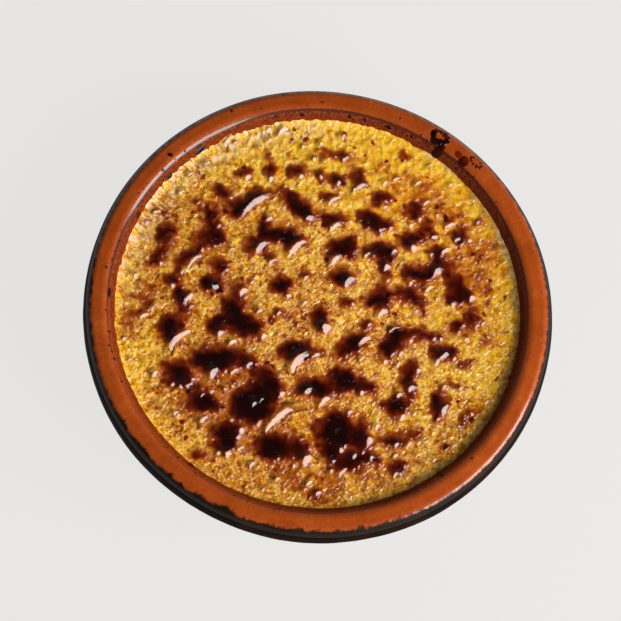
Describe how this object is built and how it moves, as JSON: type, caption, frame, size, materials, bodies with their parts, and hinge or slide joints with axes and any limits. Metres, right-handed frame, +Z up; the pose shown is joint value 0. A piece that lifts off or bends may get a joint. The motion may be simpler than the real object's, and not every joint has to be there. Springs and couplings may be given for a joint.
{
  "type": "creme brulee in dish",
  "caption": "Baked custard with an uneven, blistered sheet of burnt sugar, set in a shallow round terracotta dish with a fat rolled lip and a flat foot.",
  "frame": {"origin": "centre of the dish's flat foot, on the table", "axes": "+Z up along the dish's own axis; +X and +Y lie in the table and only place the crust's burnt patches"},
  "size_m": [0.13, 0.13, 0.03],
  "materials": {
    "terracotta": "satin",
    "custard": "gloss"
  },
  "bodies": {
    "root": {"dish": "terracotta", "custard": "custard"}
  },
  "joints": []
}
